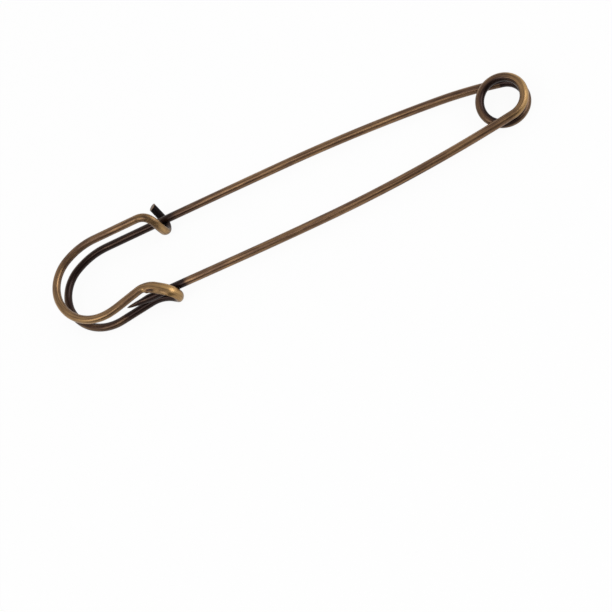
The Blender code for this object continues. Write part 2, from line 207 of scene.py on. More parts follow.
@dataclass
class WireRoute:
    """Centre line of the whole wire, from the needle's tip to its cut end."""

    sizes: WireSizes
    straight_step: float = 0.45 * MM
    bend_step: float = 2.4
    turns_of_coil: int = 96
    curve_steps: int = 40
    settle_rounds: int = 8
    slack: float = 0.01
    points: list[Vector] = field(default_factory=list)
    spans: dict[str, tuple[int, int]] = field(default_factory=dict)

    def walk(self, start: tuple[float, float], heading: float,
             moves: list[tuple[float, float]]) -> tuple[list[tuple[float, float]], float]:
        """Follow moves in the pin's plane.

        Args:
            start: Where the walk starts.
            heading: First heading.
            moves: Length and turn of each move.

        Returns:
            The points after the start, and the last heading.
        """
        x, y = start
        angle = radians(heading)
        points = []
        for length, turn in moves:
            pieces = ceil(max(length / self.straight_step, abs(turn) / self.bend_step) - self.slack)
            pieces = max(1, pieces)
            half = radians(turn) / pieces / 2.0
            chord = length / pieces * (sin(half) / half if half else 1.0)
            for _ in range(pieces):
                x += chord * cos(angle + half)
                y += chord * sin(angle + half)
                angle += 2.0 * half
                points.append((x, y))
        return points, degrees(angle)

    @staticmethod
    def at_level(points: list[tuple[float, float]], level: float) -> list[Vector]:
        """Plan points at one level."""
        return [Vector((x, y, level)) for x, y in points]

    def coil_end(self, angle: float) -> tuple[float, float]:
        """Where the coil stops at an angle, in plan."""
        radius = self.sizes.coil_radius
        return radius * cos(radians(angle)), radius * sin(radians(angle))

    def coil(self) -> list[Vector]:
        """Draw the spring coil.

        Returns:
            Its points, from the needle down to the fixed arm.
        """
        s = self.sizes
        rise = s.wire + s.coil_gap
        turns = 1.0 + (s.coil_arm_angle - s.coil_needle_angle) / 360.0
        first = sin(radians(s.coil_needle_angle))
        last = sin(radians(s.coil_arm_angle))
        # The coil leans a little, so that both its ends come out at the levels of the arms.
        lean = (s.needle_level - rise * turns) / (first - last)
        count = ceil(turns * self.turns_of_coil)
        points = []
        for index in range(count + 1):
            turned = turns * index / count
            angle = radians(s.coil_needle_angle) + 2.0 * pi * turned
            climb = rise * (turns / 2.0 - turned)
            tilt = lean * (sin(angle) - (first + last) / 2.0)
            level = s.needle_level / 2.0 + climb + tilt
            points.append(Vector((s.coil_radius * cos(angle), s.coil_radius * sin(angle), level)))
        return points

    def upper_catch(self, start: tuple[float, float], heading: float,
                    finish: Vector) -> list[tuple[float, float]]:
        """Plan the upper strand from the head to the fold, with its two straight runs solved.

        Args:
            start: Where the strand leaves the head.
            heading: Its heading there.
            finish: The fold's upper end.

        Returns:
            The points after the start.
        """
        s = self.sizes
        after_swell, middle_heading = self.walk(start, heading, [s.upper_swell.move()])
        turn = Bend(s.upper_turn_radius, s.catch_heading - middle_heading).move()
        turned = self.walk((0.0, 0.0), middle_heading, [turn])[0][-1]
        # One straight run before the turn and one after it close the gap that is left.
        gap_x = finish.x - after_swell[-1][0] - turned[0]
        gap_y = finish.y - after_swell[-1][1] - turned[1]
        a, b = radians(middle_heading), radians(s.catch_heading)
        before = (gap_x * sin(b) - gap_y * cos(b)) / sin(b - a)
        after = (gap_y * cos(a) - gap_x * sin(a)) / sin(b - a)
        moves = [s.upper_swell.move(), (before, 0.0), turn, (after, 0.0)]
        return self.walk(start, heading, moves)[0]

    def fold(self, foot: Vector) -> list[Vector]:
        """Draw the half turn that catches the needle.

        Args:
            foot: The lower strand's end.

        Returns:
            The points from there up to the upper strand.
        """
        s = self.sizes
        heading, lean = radians(s.catch_heading), radians(s.fold_lean)
        along = Vector((cos(heading), sin(heading), 0.0))
        upright = UP * cos(lean) + UP.cross(along) * sin(lean)
        middle = foot + upright * s.fold_radius
        points = []
        for index in range(self.curve_steps + 1):
            angle = pi * (index / self.curve_steps - 0.5)
            points.append(middle + (along * cos(angle) + upright * sin(angle)) * s.fold_radius)
        return points

    def needle_plan(self, bow_turn: float, last_run: float) -> tuple[list, list]:
        """Plan the needle.

        Args:
            bow_turn: Angle that the needle bows through.
            last_run: Length of its last straight run.

        Returns:
            The points of its body and of its point.
        """
        s = self.sizes
        moves = [(s.wire, 0.0), (s.needle_bow - s.wire, bow_turn)]
        moves.append((s.needle_middle, bow_turn * s.needle_middle_turn_share))
        moves.append((last_run - s.point_length, 0.0))
        heading = s.coil_needle_angle - 90.0
        body, heading = self.walk(self.coil_end(s.coil_needle_angle), heading, moves)
        point = self.walk(body[-1], heading, [(s.point_length, 0.0)])[0]
        return body, point

    def aimed_needle(self, tip: tuple[float, float]) -> tuple[list, list]:
        """Find the bow and length that bring the needle's tip to a place in the head.

        Args:
            tip: The place, in plan.

        Returns:
            The points of the needle's body and of its point.
        """
        nudge_turn, nudge_run = 0.01, 0.01 * MM
        bow_turn, last_run = 0.0, self.sizes.needle_middle
        for _ in range(self.settle_rounds):
            here = self.needle_plan(bow_turn, last_run)[1][-1]
            turned = self.needle_plan(bow_turn + nudge_turn, last_run)[1][-1]
            longer = self.needle_plan(bow_turn, last_run + nudge_run)[1][-1]
            by_turn = [(after - before) / nudge_turn for after, before in zip(turned, here)]
            by_run = [(after - before) / nudge_run for after, before in zip(longer, here)]
            # Each round mends the bow and the length by how far the tip moves with either.
            miss = [want - have for want, have in zip(tip, here)]
            spread = by_turn[0] * by_run[1] - by_turn[1] * by_run[0]
            bow_turn += (miss[0] * by_run[1] - miss[1] * by_run[0]) / spread
            last_run += (by_turn[0] * miss[1] - by_turn[1] * miss[0]) / spread
        return self.needle_plan(bow_turn, last_run)

    @staticmethod
    def place_back(points: list[Vector], distance: float) -> tuple[Vector, Vector]:
        """Measure back along a path.

        Args:
            points: The path.
            distance: How far back from its end.

        Returns:
            The place there, and the direction back from it.
        """
        left = distance
        for index in range(len(points) - 1, 0, -1):
            step = points[index - 1] - points[index]
            if step.length >= left:
                return points[index] + step.normalized() * left, step.normalized()
            left -= step.length
        return points[0], (points[0] - points[1]).normalized()

    def wrap(self, arm: list[Vector]) -> tuple[Vector, list[Vector], list[Vector]]:
        """Turn the end of the upper strand round the fixed arm.

        Args:
            arm: Points of the fixed arm.

        Returns:
            Where the turn starts, the points of the turn, and those of the cut tail.
        """
        s = self.sizes
        begin, along = self.place_back(arm, s.wrap_back - s.wrap_approach)
        centre, along = self.place_back(arm, s.wrap_back)
        inward = along.cross(UP)
        reach = s.wire + s.wrap_gap
        raised = begin + UP * s.guard_level
        # The strand curves down beside the arm first, and then turns round under it.
        side = centre + inward * (reach + s.wrap_bulge) + UP * s.wrap_level
        holds = (raised, raised + along * s.wrap_reach_along, side + UP * s.wrap_reach_up, side)
        turn = []
        for index in range(1, self.curve_steps + 1):
            t = index / self.curve_steps
            shares = ((1.0 - t) ** 3, 3.0 * t * (1.0 - t) ** 2, 3.0 * t * t * (1.0 - t), t**3)
            turn.append(sum((hold * share for hold, share in zip(holds, shares)), Vector()))
        leave = radians(s.wrap_leave_angle)
        for index in range(self.curve_steps + 1):
            share = index / self.curve_steps
            angle = pi + (leave - pi) * share
            spoke = UP * sin(angle) - inward * cos(angle)
            bulge = inward * (s.wrap_bulge * max(-cos(angle), 0.0))
            turn.append(centre + spoke * reach + bulge - along * (s.wrap_advance * share))
        outward = inward * sin(leave) + UP * cos(leave) - along * s.tail_drift_share
        outward.normalize()
        steps = ceil(s.tail_length / self.straight_step)
        tail = [turn[-1] + outward * (s.tail_length * i / steps) for i in range(1, steps + 1)]
        return raised, turn, tail

    def stretches(self) -> dict[str, list[Vector]]:
        """Draw every named stretch, each from the last point of the one before.

        Returns:
            The points of each stretch by its name.
        """
        s = self.sizes
        coil = self.coil()
        moves = [(s.wire, 0.0), (s.arm_runs[0] - s.wire, s.arm_turns[0])]
        moves += list(zip(s.arm_runs[1:], s.arm_turns[1:]))
        start = self.coil_end(s.coil_arm_angle)
        arm_plan, heading = self.walk(start, s.coil_arm_angle + 90.0, moves)
        arm = [coil[-1]] + self.at_level(arm_plan, 0.0)
        stub = ceil(s.wire / self.straight_step - self.slack)

        lower, lower_heading = self.walk(arm_plan[-1], heading, [b.move() for b in s.lower_head])
        upper, upper_heading = self.walk(arm_plan[-1], heading, [b.move() for b in s.upper_head])
        turn = Bend(s.lower_turn_radius, s.catch_heading - lower_heading)
        lower += self.walk(lower[-1], lower_heading, [(s.lower_straight, 0.0), turn.move()])[0]
        fold = self.fold(Vector((*lower[-1], 0.0)))
        upper += self.upper_catch(upper[-1], upper_heading, fold[-1])
        upper_line = self.at_level([arm_plan[-1]] + upper, s.guard_level)

        raised, wrap, tail = self.wrap(arm)
        run = (raised - upper_line[0]).length
        steps = ceil(run / self.straight_step)
        top_run = [upper_line[0].lerp(raised, i / steps) for i in range(1, steps + 1)]

        middle = (fold[0] + fold[-1]) / 2.0
        tip = (middle.x - s.tip_past_fold, middle.y + s.tip_in_from_fold)
        body, point = self.aimed_needle(tip)
        needle = self.at_level(body, s.needle_level)
        needle_tip = self.at_level(point, s.needle_level)
        return {
            "needle_point": needle_tip[::-1] + [needle[-1]],
            "needle_arm": needle[stub - 1:][::-1],
            "spring_coil": needle[:stub][::-1] + coil + arm[1:stub + 1],
            "fixed_arm": arm[stub:],
            "lower_guard": [arm[-1]] + self.at_level(lower, 0.0),
            "catch_fold": fold,
            "upper_guard": upper_line[::-1] + top_run,
            "wrap_turn": [raised] + wrap,
            "wrap_tail": [wrap[-1]] + tail,
        }

    def build(self) -> None:
        """Join the stretches into one line and note where each starts and ends in it."""
        for name, stretch in self.stretches().items():
            first = max(len(self.points) - 1, 0)
            self.points += stretch[1:] if self.points else stretch
            self.spans[name] = (first, len(self.points) - 1)


@dataclass(frozen=True)
class ToolMark:
    """A dent, groove or lip that the pliers left on the wire.

    Start and end are runs from the first point of a named stretch. Depth is how far the wire is
    pressed in, and is negative for a lip. Bright adds wear there, and dark makes it darker.
    """

    stretch: str
    start: float
    end: float
    fade: float
    towards: tuple[float, float, float]
    spread: float
    depth: float
    bright: float = 0.0
    dark: float = 0.0

    def along(self, run: float) -> float:
        """How strongly the mark works at a run, from 0 to 1."""
        return min(smooth((run - self.start) / self.fade), smooth((self.end - run) / self.fade))

    def around(self, spoke: Vector, direction: Vector) -> float:
        """Weigh the mark round the wire.

        Args:
            spoke: From the wire's middle to the side that is asked for.
            direction: Direction of the wire.

        Returns:
            How strongly the mark works on that side, from 0 to 1.
        """
        aim = Vector(self.towards)
        aim -= direction * aim.dot(direction)
        return exp(-(spoke.angle(aim) / radians(self.spread)) ** 2)


# The catch strand's lip, groove, nick and flat, and then two dents in the wrap.
PLIER_MARKS = (
    ToolMark("upper_guard", -2.5 * MM, 4.4 * MM, 0.5 * MM, (0.0, -1.0, -0.1), 18.0, -0.09 * MM,
             bright=0.4),
    ToolMark("upper_guard", 1.2 * MM, 4.2 * MM, 1.0 * MM, (0.0, -0.8, 0.6), 14.0, 0.11 * MM,
             dark=1.2),
    ToolMark("upper_guard", 4.1 * MM, 4.9 * MM, 0.3 * MM, (0.0, -0.85, 0.5), 30.0, 0.10 * MM,
             bright=1.5, dark=-1.0),
    ToolMark("upper_guard", -1.6 * MM, 0.6 * MM, 0.9 * MM, (0.2, -0.6, 0.8), 24.0, 0.06 * MM,
             dark=0.5),
    ToolMark("wrap_turn", 0.2 * MM, 1.9 * MM, 0.5 * MM, (0.1, -0.3, 0.9), 34.0, 0.07 * MM,
             bright=0.3),
    ToolMark("wrap_turn", 2.2 * MM, 3.8 * MM, 0.5 * MM, (0.5, -0.4, 0.8), 34.0, 0.06 * MM,
             bright=0.2),
)


@dataclass
class WireSkin:
    """Sections of the wire along its route, with what the finish needs to know about each place."""

    route: WireRoute
    marks: tuple[ToolMark, ...] = PLIER_MARKS
    sides: int = 48
    catch_pressed: float = 0.08
    catch_pressed_run: float = 18.0 * MM
    catch_pressed_fade: float = 6.0 * MM
    jaw_pressed: float = 0.22
    jaw_run: float = 5.0 * MM
    jaw_fade: float = 1.0 * MM
    wrap_pressed: float = 0.18
    point_taper: float = 5.0 * MM
    point_end: float = 0.07
    point_power: float = 0.62
    point_facets: float = 0.55
    point_facet_fade: float = 2.0 * MM
    # Reach of the patina and painted shade that darken the wire beside other parts of it.
    hollow_shade_reach: float = 1.5 * MM
    neighbour_run: float = 6.0 * MM
    full_bend: float = 9.0 * MM
    waver: float = 0.006 * MM
    waver_along: float = 400.0
    waver_round: float = 1.6
    round_power: float = 2.0
    rings: list[list[Vector]] = field(default_factory=list)
    places: list[list[tuple[float, float, float]]] = field(default_factory=list)
    hollow_shade_and_patina: np.ndarray = field(default_factory=lambda: np.zeros(0))
    inside: list[list[float]] = field(default_factory=list)
    marked: list[list[tuple[float, float]]] = field(default_factory=list)

    def bend_inside(self, index: int) -> Vector:
        """Find the inside of the bend at a point.

        Args:
            index: The point's number.

        Returns:
            A vector towards the inside, longer the tighter the bend.
        """
        points = self.route.points
        last = len(points) - 1
        before, here, after = (points[min(max(index + step, 0), last)] for step in (-2, 0, 2))
        first, second = here - before, after - here
        if first.length * second.length == 0.0:
            return Vector()
        change = second.normalized() - first.normalized()
        return change * (2.0 * self.full_bend / (first.length + second.length))

    def tangents(self) -> list[Vector]:
        """Find which way the wire runs.

        Returns:
            Its direction at each point.
        """
        points = self.route.points
        last = len(points) - 1
        return [(points[min(i + 1, last)] - points[max(i - 1, 0)]).normalized()
                for i in range(last + 1)]

    def presses(self) -> dict[int, tuple[float, float, Vector]]:
        """Find where the pliers pressed the wire flatter.

        Returns:
            How much wider it is both ways and one way, and which way that is, by point.
        """
        points, spans = self.route.points, self.route.spans
        result = {}
        first, last = spans["catch_fold"]
        across = (points[(first + last) // 2] - points[first]).cross(points[last] - points[first])
        for index in range(first, last + 1):
            share = smooth(2.0 * (index - first) / (last - first))
            both, jaw = self.catch_pressed * share, self.jaw_pressed * share
            result[index] = (both, jaw, across.normalized())
        first, last = spans["upper_guard"]
        run = 0.0
        for index in range(first + 1, last):
            run += (points[index] - points[index - 1]).length
            left = (self.catch_pressed_run - run) / self.catch_pressed_fade
            both = self.catch_pressed * smooth(left)
            jaw = self.jaw_pressed * smooth((self.jaw_run - run) / self.jaw_fade)
            step = points[index + 1] - points[index - 1]
            result[index] = (both, jaw, UP.cross(step).normalized())
        first, last = spans["wrap_turn"]
        arm_first, arm_last = spans["fixed_arm"]
        along = (points[arm_first] - points[arm_last]).normalized()
        for index in range(first + 1, last):
            share = sin(pi * (index - first) / (last - first))
            result[index] = (self.wrap_pressed * share, 0.0, along)
        return result

    def point_shape(self, run: float) -> tuple[float, float]:
        """Shape the ground point.

        Args:
            run: How far from the needle's tip.

        Returns:
            The share of the wire's radius there, and the power that makes the section round.
        """
        share = min(run / self.point_taper, 1.0)
        facets = self.point_facets * smooth((self.point_taper - run) / self.point_facet_fade)
        size = self.point_end + (1.0 - self.point_end) * share**self.point_power
        return size, self.round_power - facets

    def marks_at(self, runs: list[float], index: int) -> list[tuple[ToolMark, float]]:
        """Find the tool marks that touch a section.

        Args:
            runs: How far along the wire each point is.
            index: The section's number.

        Returns:
            Each mark and how strongly it works there.
        """
        result = []
        for mark in self.marks:
            share = mark.along(runs[index] - runs[self.route.spans[mark.stretch][0]])
            if share > 0.0:
                result.append((mark, share))
        return result

    def add_section(self, index: int, runs: list[float], side: Vector, direction: Vector,
                    press: tuple[float, float, Vector]) -> None:
        """Make the ring of one section, and note its places, bends and marks.

        Args:
            index: The section's number.
            runs: How far along the wire each point is.
            side: The way across the wire where the ring starts.
            direction: Direction of the wire.
            press: How much wider it is pressed both ways and one way, and which way that is.
        """
        run, other = runs[index], direction.cross(side)
        radius, power = self.route.sizes.radius, self.round_power
        if index < self.route.spans["needle_point"][1]:
            share, power = self.point_shape(run)
            radius *= share
        both, jaw, wide = press
        wide = (wide - direction * wide.dot(direction)).normalized()
        thin = direction.cross(wide)
        middle = self.route.points[index] + wide * (jaw * radius)
        wider = 1.0 + both + jaw
        inwards = self.bend_inside(index)
        if inwards.length > 1.0:
            inwards.normalize()
        marks = self.marks_at(runs, index)
        ring, place, inside, marked = [], [], [], []
        for corner in range(self.sides):
            angle = 2.0 * pi * corner / self.sides
            spoke = side * cos(angle) + other * sin(angle)
            here = Vector((run * self.waver_along, spoke.dot(side) * self.waver_round,
                           spoke.dot(other) * self.waver_round))
            reach = radius / (abs(cos(angle))**power + abs(sin(angle))**power) ** (1.0 / power)
            reach += self.waver * noise.noise(here)
            strengths = [(mark, share * mark.around(spoke, direction)) for mark, share in marks]
            reach -= sum(mark.depth * strength for mark, strength in strengths)
            arm = spoke * reach
            arm = wide * (arm.dot(wide) * wider) + thin * (arm.dot(thin) / wider)
            ring.append(middle + arm)
            place.append((run, cos(angle) * radius, sin(angle) * radius))
            inside.append(spoke.dot(inwards))
            marked.append((sum(mark.bright * strength for mark, strength in strengths),
                           sum(mark.dark * strength for mark, strength in strengths)))
        self.rings.append(ring)
        self.places.append(place)
        self.inside.append(inside)
        self.marked.append(marked)

    def build(self) -> None:
        """Make the rings, and measure how close each place is to another part of the wire."""
        points = self.route.points
        directions = self.tangents()
        presses = self.presses()
        runs = [0.0]
        for before, after in zip(points, points[1:]):
            runs.append(runs[-1] + (after - before).length)
        side = directions[0].cross(UP).normalized()
        for index, direction in enumerate(directions):
            # The section is carried along without twist, so that the drawing lines run true.
            if index:
                side = directions[index - 1].rotation_difference(direction) @ side
            side = (side - direction * side.dot(direction)).normalized()
            self.add_section(index, runs, side, direction, presses.get(index, (0.0, 0.0, side)))
        self.measure_hollow_shade(np.array(runs))

    def measure_hollow_shade(self, runs: np.ndarray) -> None:
        """Note for each corner how deep it lies beside another part of the wire, from 0 to 1.

        Args:
            runs: How far along the wire each point is.
        """
        # Corners beside another part of the wire get patina and painted shade, deeper the nearer
        # they lie.
        centres = np.array([tuple(p) for p in self.route.points])
        rows = []
        for index, ring in enumerate(self.rings):
            far = np.abs(runs - runs[index]) > self.neighbour_run
            corners = np.array([tuple(c) for c in ring])
            gaps = np.linalg.norm(corners[:, None, :] - centres[None, far, :], axis=2).min(axis=1)
            gaps -= self.route.sizes.radius
            rows.append(np.clip(1.0 - gaps / self.hollow_shade_reach, 0.0, 1.0))
        self.hollow_shade_and_patina = np.array(rows)


@dataclass(frozen=True)
class WearAndPaintedLight:
    """How the wire has aged, with its painted highlight and shade, at a share of a stretch.

    Worn and dark hold for the whole section. Outer adds wear on the outside of a bend, and inner
    adds patina on its inside.
    """

    share: float
    worn: float
    dark: float
    outer: float = 0.15
    inner: float = 0.25


@dataclass(frozen=True)
class BronzeFinish:
    """Antique bronze: bright metal where it is rubbed, brown plating, and black patina."""

    # The bright colour also paints highlight, and the dark colour paints shade, where the tables
    # say so.
    bright: tuple[float, float, float] = (0.41, 0.248, 0.098)
    brown: tuple[float, float, float] = (0.172, 0.092, 0.055)
    dark: tuple[float, float, float] = (0.022, 0.008, 0.005)
    streaks: float = 1.0
    patches: float = 0.4
    roughness_worn: float = 0.39
    roughness_dark: float = 0.36
    bump: float = 0.5
    bump_depth: float = 0.02 * MM
    lacquer: float = 0.27
    lacquer_roughness: float = 0.26


@dataclass(frozen=True)
class DrawnMark:
    """Noise read at a scale along and across the wire, with its detail and its own place."""

    scale: tuple[float, float, float]
    detail: float
    shift: float
    roughness: float = 0.55


DRAWN_MARKS = {
    "Streaks": DrawnMark((90.0, 3600.0, 3600.0), 3.0, 0.0),
    "Scratches": DrawnMark((260.0, 11000.0, 11000.0), 2.0, 3.7),
    "Patches": DrawnMark((420.0, 900.0, 900.0), 4.0, 7.1),
    "Grain": DrawnMark((7000.0, 9000.0, 9000.0), 2.0, 1.9),
}


@dataclass(frozen=True)
class MarkWeights:
    """How strongly the drawn marks work on each layer of the bronze."""

    middle: float = 0.5
    scratch_in_lines: float = 0.7
    lines: float = 2.0
    clouds: float = 1.6
    on_worn: float = 0.5
    on_dark: float = -0.6
    on_brightness: float = 0.7
    grain_on_roughness: float = 0.12
    scratch_height: float = 0.4
    grain_height: float = 0.2
    dark_on_metal: float = -0.1


class NodeMaker:
    """Adds nodes to one tree and joins them."""

    def __init__(self, tree: bpy.types.NodeTree) -> None:
        """Keep the tree."""
        self.tree = tree

    def add(self, kind: str, sockets: dict | None = None, **settings: object) -> bpy.types.Node:
        """Add a node.

        Args:
            kind: Blender's name of the node.
            sockets: Values or source sockets, by the input's name or number.
            settings: Properties of the node.

        Returns:
            The new node.
        """
        node = self.tree.nodes.new(kind)
        for name, value in settings.items():
            setattr(node, name, value)
        for name, value in (sockets or {}).items():
            if isinstance(value, bpy.types.NodeSocket):
                self.tree.links.new(value, node.inputs[name])
            else:
                node.inputs[name].default_value = value
        return node

    def math(self, operation: str, *values: object, clamp: bool = False) -> bpy.types.NodeSocket:
        """Work out a sum.

        Args:
            operation: Blender's name of the sum.
            values: One, two or three values or source sockets.
            clamp: Whether to keep the result from 0 to 1.

        Returns:
            The socket of the result.
        """
        node = self.add("ShaderNodeMath", dict(enumerate(values)), operation=operation)
        node.use_clamp = clamp
        return node.outputs[0]

    def ease(self, value: object, low: float, high: float) -> bpy.types.NodeSocket:
        """Step smoothly from 0 to 1.

        Args:
            value: The source socket.
            low: Where the step starts.
            high: Where it ends.

        Returns:
            The socket of the result.
        """
        sockets = {"Value": value, "From Min": low, "From Max": high}
        node = self.add("ShaderNodeMapRange", sockets, interpolation_type="SMOOTHSTEP")
        return node.outputs["Result"]

    def blend(self, share: object, first: object, second: object) -> bpy.types.NodeSocket:
        """Mix two colours.

        Args:
            share: Share of the second colour.
            first: The first colour or its socket.
            second: The second colour or its socket.

        Returns:
            The socket of the mix.
        """
        # Of the mix node's many sockets these are the ones for colours.
        sockets = {0: share, 6: first, 7: second}
        return self.add("ShaderNodeMix", sockets, data_type="RGBA").outputs[2]

    def noise_at(self, place: object, mark: DrawnMark) -> bpy.types.NodeSocket:
        """Read noise at a place on the wire.

        Args:
            place: The socket of the place.
            mark: The kind of mark that the noise stands for.

        Returns:
            The socket of the noise.
        """
        mapping = self.add("ShaderNodeMapping", {"Vector": place, "Scale": mark.scale,
                                                 "Location": (mark.shift,) * 3})
        texture = self.add("ShaderNodeTexNoise", {"Vector": mapping.outputs[0], "Scale": 1.0,
                                                  "Detail": mark.detail,
                                                  "Roughness": mark.roughness})
        return texture.outputs["Fac"]


def new_group(name: str, inputs: dict, outputs: dict) -> tuple[bpy.types.NodeTree, NodeMaker]:
    """Start a shader node group.

    Args:
        name: Name of the group.
        inputs: Socket type and first value by name.
        outputs: Socket type by name.

    Returns:
        The group and a maker for its nodes.
    """
    group = bpy.data.node_groups.new(name, "ShaderNodeTree")
    for label, (kind, value) in inputs.items():
        socket = group.interface.new_socket(label, in_out="INPUT", socket_type=kind)
        if value is not None:
            socket.default_value = value
    for label, kind in outputs.items():
        group.interface.new_socket(label, in_out="OUTPUT", socket_type=kind)
    return group, NodeMaker(group)


def drawn_wire_group() -> bpy.types.NodeTree:
    """Make the group of marks that drawing leaves along the wire.

    Returns:
        The group, from a place on the wire to each kind of mark.
    """
    outputs = {label: "NodeSocketFloat" for label in DRAWN_MARKS}
    group, make = new_group("drawn_wire_marks", {"Place": ("NodeSocketVector", None)}, outputs)
    place = make.add("NodeGroupInput").outputs["Place"]
    result = make.add("NodeGroupOutput")
    for label, mark in DRAWN_MARKS.items():
        make.tree.links.new(make.noise_at(place, mark), result.inputs[label])
    return group


def aged_bronze_group(marks: bpy.types.NodeTree, weights: MarkWeights) -> bpy.types.NodeTree:
    """Make the group that gives antique bronze its layers.

    Args:
        marks: The group of drawn marks.
        weights: How strongly the marks work.

    Returns:
        The group, from a place and its wear to colour, roughness, metal and height.
    """
    plain = BronzeFinish()
    group, make = new_group(
        "aged_bronze",
        {"Place": ("NodeSocketVector", None),
         "Worn": ("NodeSocketFloat", 0.0), "Dark": ("NodeSocketFloat", 0.0),
         "Bright Colour": ("NodeSocketColor", (*plain.bright, 1.0)),
         "Brown Colour": ("NodeSocketColor", (*plain.brown, 1.0)),
         "Dark Colour": ("NodeSocketColor", (*plain.dark, 1.0)),
         "Streaks": ("NodeSocketFloat", plain.streaks),
         "Patches": ("NodeSocketFloat", plain.patches),
         "Worn Roughness": ("NodeSocketFloat", plain.roughness_worn),
         "Dark Roughness": ("NodeSocketFloat", plain.roughness_dark)},
        {"Color": "NodeSocketColor", "Roughness": "NodeSocketFloat",
         "Metal": "NodeSocketFloat", "Height": "NodeSocketFloat"})
    source = make.add("NodeGroupInput").outputs
    drawn = make.add("ShaderNodeGroup", {"Place": source["Place"]}, node_tree=marks).outputs
    streak, scratch, patch, grain = (
        make.math("SUBTRACT", drawn[label], weights.middle)
        for label in ("Streaks", "Scratches", "Patches", "Grain"))
    lines = make.math("MULTIPLY_ADD", scratch, weights.scratch_in_lines, streak)
    lines = make.math("MULTIPLY", lines, source["Streaks"])
    cloud = make.math("MULTIPLY", patch, source["Patches"])
    cloud = make.math("MULTIPLY", cloud, weights.clouds)
    uneven = make.math("MULTIPLY_ADD", lines, weights.lines, cloud)
    worn = make.math("MULTIPLY_ADD", uneven, weights.on_worn, source["Worn"], clamp=True)
    dark = make.math("MULTIPLY_ADD", uneven, weights.on_dark, source["Dark"], clamp=True)
    metal = make.blend(worn, source["Brown Colour"], source["Bright Colour"])
    level = make.math("MULTIPLY_ADD", uneven, weights.on_brightness, 1.0)
    metal = make.add("ShaderNodeVectorMath", {0: metal, "Scale": level}, operation="SCALE")
    colour = make.blend(dark, metal.outputs[0], source["Dark Colour"])
    rougher = make.math("SUBTRACT", source["Dark Roughness"], source["Worn Roughness"])
    rough = make.math("MULTIPLY_ADD", rougher, dark, source["Worn Roughness"])
    rough = make.math("MULTIPLY_ADD", grain, weights.grain_on_roughness, rough)
    height = make.math("MULTIPLY_ADD", drawn["Scratches"], weights.scratch_height,
                       drawn["Streaks"])
    height = make.math("MULTIPLY_ADD", drawn["Grain"], weights.grain_height, height)
    values = {"Color": colour, "Roughness": rough,
              "Metal": make.math("MULTIPLY_ADD", dark, weights.dark_on_metal, 1.0),
              "Height": height}
    make.add("NodeGroupOutput", values)
    return group


def bronze_material(name: str, finish: BronzeFinish,
                    group: bpy.types.NodeTree) -> bpy.types.Material:
    """Mix antique bronze for one stretch of the wire.

    Args:
        name: Name of the stretch.
        finish: Colours and strengths of the finish.
        group: The shared aged bronze group.

    Returns:
        The material.
    """
    material = bpy.data.materials.new("bronze_" + name)
    material.use_nodes = True
    shader = material.node_tree.nodes["Principled BSDF"]
    make = NodeMaker(material.node_tree)
    attributes = {label: make.add("ShaderNodeAttribute", attribute_name=label)
                  for label in ("wire_place", "worn", "dark")}
    sockets = {
        "Place": attributes["wire_place"].outputs["Vector"],
        "Worn": attributes["worn"].outputs["Fac"], "Dark": attributes["dark"].outputs["Fac"],
        "Bright Colour": (*finish.bright, 1.0), "Brown Colour": (*finish.brown, 1.0),
        "Dark Colour": (*finish.dark, 1.0), "Streaks": finish.streaks, "Patches": finish.patches,
        "Worn Roughness": finish.roughness_worn, "Dark Roughness": finish.roughness_dark,
    }
    bronze = make.add("ShaderNodeGroup", sockets, node_tree=group).outputs
    shader.inputs["Coat Weight"].default_value = finish.lacquer
    shader.inputs["Coat Roughness"].default_value = finish.lacquer_roughness
    bump = make.add("ShaderNodeBump", {"Height": bronze["Height"], "Strength": finish.bump,
                                       "Distance": finish.bump_depth}).outputs
    links = {"Base Color": bronze["Color"], "Roughness": bronze["Roughness"],
             "Metallic": bronze["Metal"], "Normal": bump["Normal"]}
    for label, value in links.items():
        make.tree.links.new(value, shader.inputs[label])
    return material


